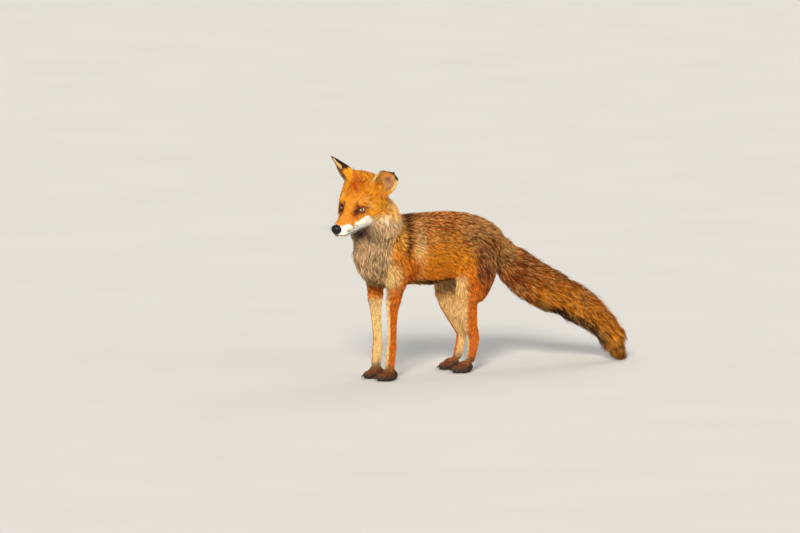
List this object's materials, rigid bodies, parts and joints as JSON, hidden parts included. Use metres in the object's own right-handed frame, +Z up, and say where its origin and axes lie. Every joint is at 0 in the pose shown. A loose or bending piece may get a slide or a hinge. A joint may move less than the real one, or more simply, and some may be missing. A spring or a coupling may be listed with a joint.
{
  "type": "red fox",
  "caption": "Life-size still red fox, standing with its head raised and turned, one ear pricked out and one laid back, and its thick brush hanging to the floor.",
  "frame": {"origin": "on the floor, under the middle of the animal's bounding box", "axes": "+Z up; the fox faces -Y, so its body and brush run along +Y; +X is its left side"},
  "size_m": [0.2296, 0.904, 0.5231],
  "materials": {
    "russet": "long orange-brown fur, made as tufts over a skin",
    "grizzled": "brown-rufous fur with pale tips",
    "cream": "short cream fur",
    "dark": "short black-brown fur",
    "nose": "moist black pebbled leather",
    "eye": "amber iris and dark pupil under a clear wet surface",
    "claw": "smooth dark horn"
  },
  "bodies": {
    "root": {"head": "russet", "lower_jaw": "cream", "nose": "nose", "eye_left": "eye", "eye_right": "eye", "ear_left": "dark", "ear_right": "dark", "neck": "russet", "trunk": "grizzled", "tail_root": "russet", "tail_middle": "russet", "tail_tip": "russet", "front_left_upper_leg": "russet", "front_left_lower_leg": "russet", "front_left_foot": "cream", "front_left_paw": "dark", "front_left_claw_1": "claw", "front_left_claw_2": "claw", "front_left_claw_3": "claw", "front_left_claw_4": "claw", "front_right_upper_leg": "russet", "front_right_lower_leg": "russet", "front_right_foot": "cream", "front_right_paw": "dark", "front_right_claw_1": "claw", "front_right_claw_2": "claw", "front_right_claw_3": "claw", "front_right_claw_4": "claw", "hind_left_upper_leg": "russet", "hind_left_lower_leg": "russet", "hind_left_foot": "cream", "hind_left_paw": "dark", "hind_left_claw_1": "claw", "hind_left_claw_2": "claw", "hind_left_claw_3": "claw", "hind_left_claw_4": "claw", "hind_right_upper_leg": "russet", "hind_right_lower_leg": "russet", "hind_right_foot": "cream", "hind_right_paw": "dark", "hind_right_claw_1": "claw", "hind_right_claw_2": "claw", "hind_right_claw_3": "claw", "hind_right_claw_4": "claw"}
  },
  "joints": []
}
